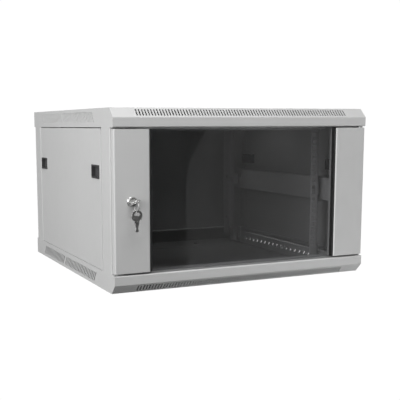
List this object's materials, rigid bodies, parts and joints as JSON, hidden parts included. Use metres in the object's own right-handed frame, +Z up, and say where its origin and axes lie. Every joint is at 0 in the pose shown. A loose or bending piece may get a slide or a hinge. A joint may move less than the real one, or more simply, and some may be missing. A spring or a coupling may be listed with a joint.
{
  "type": "wall mount network cabinet",
  "caption": "Folded-steel wall cabinet for 19-inch equipment with vented sloping edges, lift-off latched sides and a smoked glass door with a cam lock",
  "frame": {"origin": "middle of the lower edge of the back, on the wall plane", "axes": "+Z up, the door faces -Y, +X to the right seen from the front; the wall is at y = 0"},
  "size_m": [0.603, 0.6384, 0.37],
  "materials": {
    "grey_paint": "light grey powder coat",
    "zinc_steel": "zinc plated",
    "nickel": "nickel plated",
    "smoked_glass": "smoked, polished",
    "black_rubber": "matt rubber",
    "black_plastic": "fine grained plastic",
    "dark_plastic": "fine grained plastic"
  },
  "bodies": {
    "frame": {"bottom_pan": "grey_paint", "top_cover": "grey_paint", "cable_entry_plate_bottom": "grey_paint", "cable_entry_plate_top": "grey_paint", "cable_entry_screws": "zinc_steel", "post_screws": "zinc_steel", "back_panel": "grey_paint", "back_panel_screws": "zinc_steel", "hinge_pin_bottom": "zinc_steel", "hinge_pin_top": "zinc_steel", "front_post_left": "grey_paint", "front_post_right": "grey_paint", "rear_post_left": "grey_paint", "rear_post_right": "grey_paint", "bottom_depth_rail_left": "grey_paint", "bottom_depth_rail_right": "grey_paint", "top_depth_rail_left": "grey_paint", "top_depth_rail_right": "grey_paint", "mid_brace_left": "grey_paint", "mid_brace_right": "grey_paint", "front_rack_rail_left": "grey_paint", "front_rack_rail_right": "grey_paint", "rear_rack_rail_left": "grey_paint", "rear_rack_rail_right": "grey_paint", "rail_brackets_left": "grey_paint", "rail_brackets_right": "grey_paint", "rail_bracket_bolts_left": "zinc_steel", "rail_bracket_bolts_right": "zinc_steel"},
    "door": {"door_strip_left": "grey_paint", "door_strip_right": "grey_paint", "door_glass": "smoked_glass", "glass_seal_left": "black_rubber", "glass_seal_right": "black_rubber", "hinge_bushes": "black_plastic", "lock_housing": "nickel", "lock_nut": "nickel"},
    "lock_plug": {"lock_plug": "nickel", "lock_cam": "zinc_steel", "lock_cam_screw": "zinc_steel"},
    "key": {"key": "nickel"},
    "key_ring": {"key_ring": "zinc_steel"},
    "spare_key": {"spare_key": "nickel"},
    "side_panel_left": {"side_panel_left": "grey_paint", "latch_case_front_left": "black_plastic", "latch_case_rear_left": "black_plastic"},
    "latch_slider_front_left": {"latch_slider_front_left": "dark_plastic"},
    "latch_slider_rear_left": {"latch_slider_rear_left": "dark_plastic"},
    "side_panel_right": {"side_panel_right": "grey_paint", "latch_case_front_right": "black_plastic", "latch_case_rear_right": "black_plastic"},
    "latch_slider_front_right": {"latch_slider_front_right": "dark_plastic"},
    "latch_slider_rear_right": {"latch_slider_rear_right": "dark_plastic"}
  },
  "joints": [
    {"name": "door_hinge", "type": "hinge", "parent": "frame", "child": "door", "pos_m": [0.2918, -0.5925, 0.185], "axis": [0, 0, 1], "range_deg": [0, 180]},
    {"name": "lock_turn", "type": "hinge", "parent": "door", "child": "lock_plug", "pos_m": [-0.262, -0.6, 0.186], "axis": [0, -1, 0], "range_deg": [0, 66]},
    {"name": "key_pull", "type": "slide", "parent": "lock_plug", "child": "key", "axis": [0, -1, 0], "range_m": [0, 0.03]},
    {"name": "ring_swing", "type": "hinge", "parent": "key", "child": "key_ring", "pos_m": [-0.262, -0.6267, 0.186], "axis": [0, -1, 0], "range_deg": [-4, 40]},
    {"name": "spare_swing", "type": "hinge", "parent": "key_ring", "child": "spare_key", "pos_m": [-0.262, -0.6267, 0.1666], "axis": [0, -1, 0], "range_deg": [-45, 45]},
    {"name": "side_panel_left_off", "type": "slide", "parent": "frame", "child": "side_panel_left", "axis": [-1, 0, 0], "range_m": [0, 0.15]},
    {"name": "latch_front_left", "type": "slide", "parent": "side_panel_left", "child": "latch_slider_front_left", "axis": [0, -1, 0], "range_m": [0, 0.0056]},
    {"name": "latch_rear_left", "type": "slide", "parent": "side_panel_left", "child": "latch_slider_rear_left", "axis": [0, 1, 0], "range_m": [0, 0.0056]},
    {"name": "side_panel_right_off", "type": "slide", "parent": "frame", "child": "side_panel_right", "axis": [1, 0, 0], "range_m": [0, 0.15]},
    {"name": "latch_front_right", "type": "slide", "parent": "side_panel_right", "child": "latch_slider_front_right", "axis": [0, -1, 0], "range_m": [0, 0.0056]},
    {"name": "latch_rear_right", "type": "slide", "parent": "side_panel_right", "child": "latch_slider_rear_right", "axis": [0, 1, 0], "range_m": [0, 0.0056]}
  ]
}
